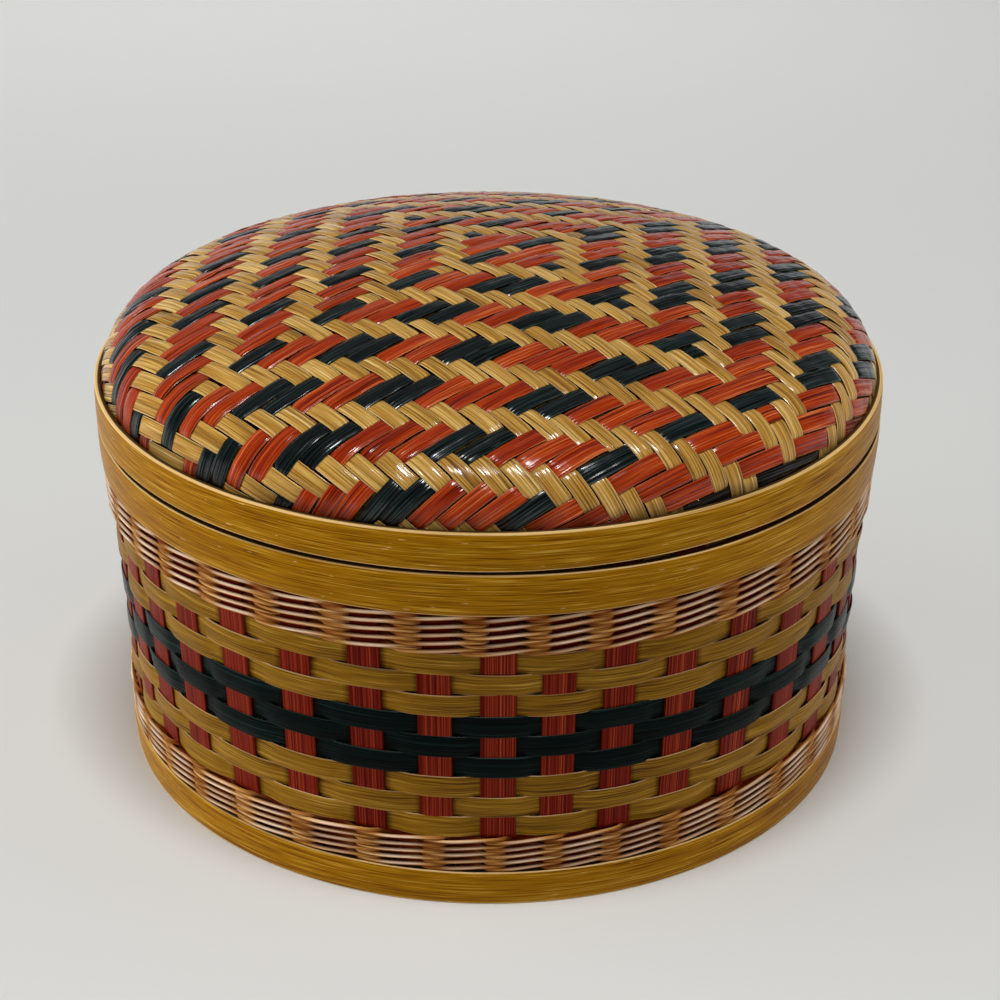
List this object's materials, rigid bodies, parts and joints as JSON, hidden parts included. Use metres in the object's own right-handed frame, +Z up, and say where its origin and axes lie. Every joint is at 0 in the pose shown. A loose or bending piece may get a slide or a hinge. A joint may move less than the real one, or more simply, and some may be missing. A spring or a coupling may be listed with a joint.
{
  "type": "lidded basket",
  "caption": "Round split-bamboo basket with bent hoops, a wall of twined and plain-woven bands and a domed twill-woven lid that lifts off.",
  "frame": {"origin": "on the floor, at the centre of the foot hoop", "axes": "+Z up along the axis of the basket, -Y to the front, the side that the picture shows"},
  "size_m": [0.23, 0.23, 0.1479],
  "materials": {
    "hoop_bamboo": "gloss lacquer",
    "strand_bamboo": "satin lacquer",
    "gold_bamboo": "gloss lacquer",
    "green_bamboo": "dyed, gloss lacquer",
    "red_bamboo": "dyed, gloss lacquer",
    "plain_bamboo": "satin",
    "lid_mat": "dyed, gloss lacquer"
  },
  "bodies": {
    "basket": {"foot_hoop": "hoop_bamboo", "inner_foot_hoop": "hoop_bamboo", "base_mat": "plain_bamboo", "stakes": "red_bamboo", "lower_strand_1": "strand_bamboo", "lower_strand_2": "strand_bamboo", "lower_strand_3": "strand_bamboo", "lower_strand_4": "strand_bamboo", "lower_strand_5": "strand_bamboo", "lower_strand_6": "strand_bamboo", "lower_strand_7": "strand_bamboo", "lower_strand_8": "strand_bamboo", "lower_strand_9": "strand_bamboo", "lower_strand_10": "strand_bamboo", "lower_gold_weaver_1": "gold_bamboo", "lower_gold_weaver_2": "gold_bamboo", "lower_gold_weaver_3": "gold_bamboo", "green_weaver_1": "green_bamboo", "green_weaver_2": "green_bamboo", "green_weaver_3": "green_bamboo", "upper_gold_weaver_1": "gold_bamboo", "upper_gold_weaver_2": "gold_bamboo", "upper_gold_weaver_3": "gold_bamboo", "upper_strand_1": "strand_bamboo", "upper_strand_2": "strand_bamboo", "upper_strand_3": "strand_bamboo", "upper_strand_4": "strand_bamboo", "upper_strand_5": "strand_bamboo", "upper_strand_6": "strand_bamboo", "upper_strand_7": "strand_bamboo", "upper_strand_8": "strand_bamboo", "upper_strand_9": "strand_bamboo", "upper_strand_10": "strand_bamboo", "rim_hoop": "hoop_bamboo", "collar_hoop": "hoop_bamboo"},
    "lid": {"lid_hoop": "hoop_bamboo", "lid_inner_hoop": "hoop_bamboo", "lid_dome": "lid_mat"}
  },
  "joints": [
    {"name": "lid_lift", "type": "slide", "parent": "basket", "child": "lid", "axis": [0, 0, 1], "range_m": [0, 0.1]}
  ]
}
